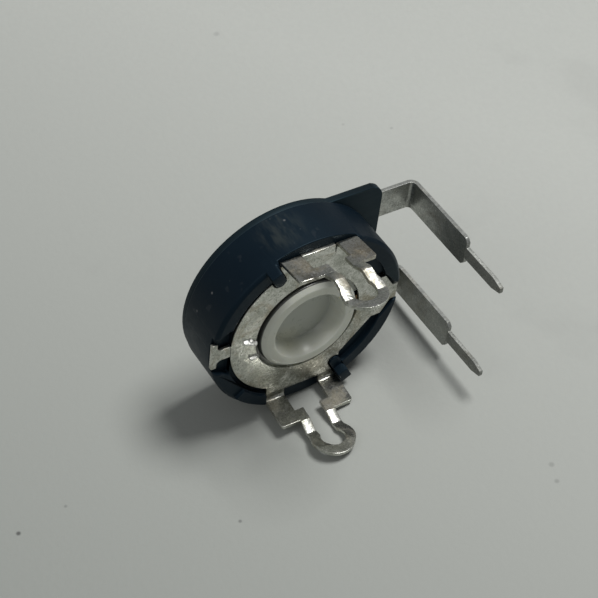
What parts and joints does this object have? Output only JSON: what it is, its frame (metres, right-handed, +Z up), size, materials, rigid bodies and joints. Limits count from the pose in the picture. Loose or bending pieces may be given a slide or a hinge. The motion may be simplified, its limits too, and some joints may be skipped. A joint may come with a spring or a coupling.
{
  "type": "trimmer potentiometer",
  "caption": "Round carbon trimmer with a black housing, open tinned collector plate, white rotor, bent solder pins and crimped loop terminals.",
  "frame": {"origin": "rotor axis in the collector plate's front face, just inside the housing's front rim", "axes": "plate side faces -Y with the rotor axis 2.2 degrees above it, +X towards the end terminals, +Z up as the part lies on a table on its rim"},
  "size_m": [0.0194, 0.0118, 0.0158],
  "materials": {
    "black_moulding": "black moulded thermoset, half matt",
    "black_board": "black laminate board",
    "carbon_film": "printed carbon track",
    "silver_print": "silvered print",
    "tinned_strap": "dull tinned strip",
    "tinned_rivet": "tinned rivet",
    "tinned_plate": "tinned stamping with mottled handling marks",
    "white_moulding": "milky white moulded plastic",
    "spring_bronze": "bare spring bronze"
  },
  "bodies": {
    "base": {"housing": "black_moulding", "track_board": "black_board", "carbon_track": "carbon_film", "end_pad_upper": "silver_print", "end_pad_lower": "silver_print", "end_terminal_upper": "tinned_strap", "end_terminal_lower": "tinned_strap", "terminal_rivets": "tinned_rivet", "collector_plate": "tinned_plate"},
    "rotor_unit": {"rotor": "white_moulding", "wiper_spring": "spring_bronze"}
  },
  "joints": [
    {"name": "rotor_turn", "type": "hinge", "parent": "base", "child": "rotor_unit", "pos_m": [0, 0, 0], "axis": [0, -0.9993, 0.0386], "range_deg": [-132.5, 132.5]}
  ]
}
